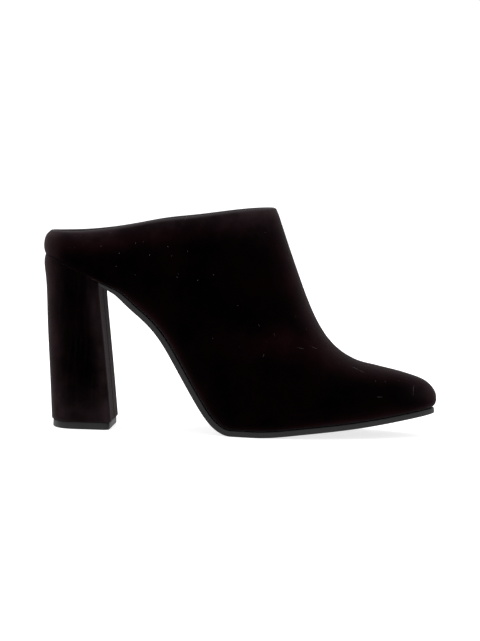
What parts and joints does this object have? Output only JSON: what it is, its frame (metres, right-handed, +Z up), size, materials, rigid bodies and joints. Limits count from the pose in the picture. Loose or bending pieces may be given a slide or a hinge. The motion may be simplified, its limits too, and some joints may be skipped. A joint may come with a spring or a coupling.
{
  "type": "mule shoe",
  "caption": "Velvet block-heel mule with a closed almond toe, a high vamp, a low open-top back and a thin rubber sole.",
  "frame": {"origin": "on the floor, below the middle of the shoe's box", "axes": "+X towards the toe, +Y towards the inner side of the foot, +Z up"},
  "size_m": [0.2272, 0.0798, 0.1289],
  "materials": {
    "velvet": "short-pile velvet, near black with a wine undertone and a grey sheen at grazing angles",
    "sock": "matt black sock lining",
    "sole_rubber": "matt black rubber, faintly grained"
  },
  "bodies": {
    "root": {"upper": "velvet", "insole": "sock", "outsole": "sole_rubber", "heel_block": "velvet", "top_lift": "sole_rubber"}
  },
  "joints": []
}
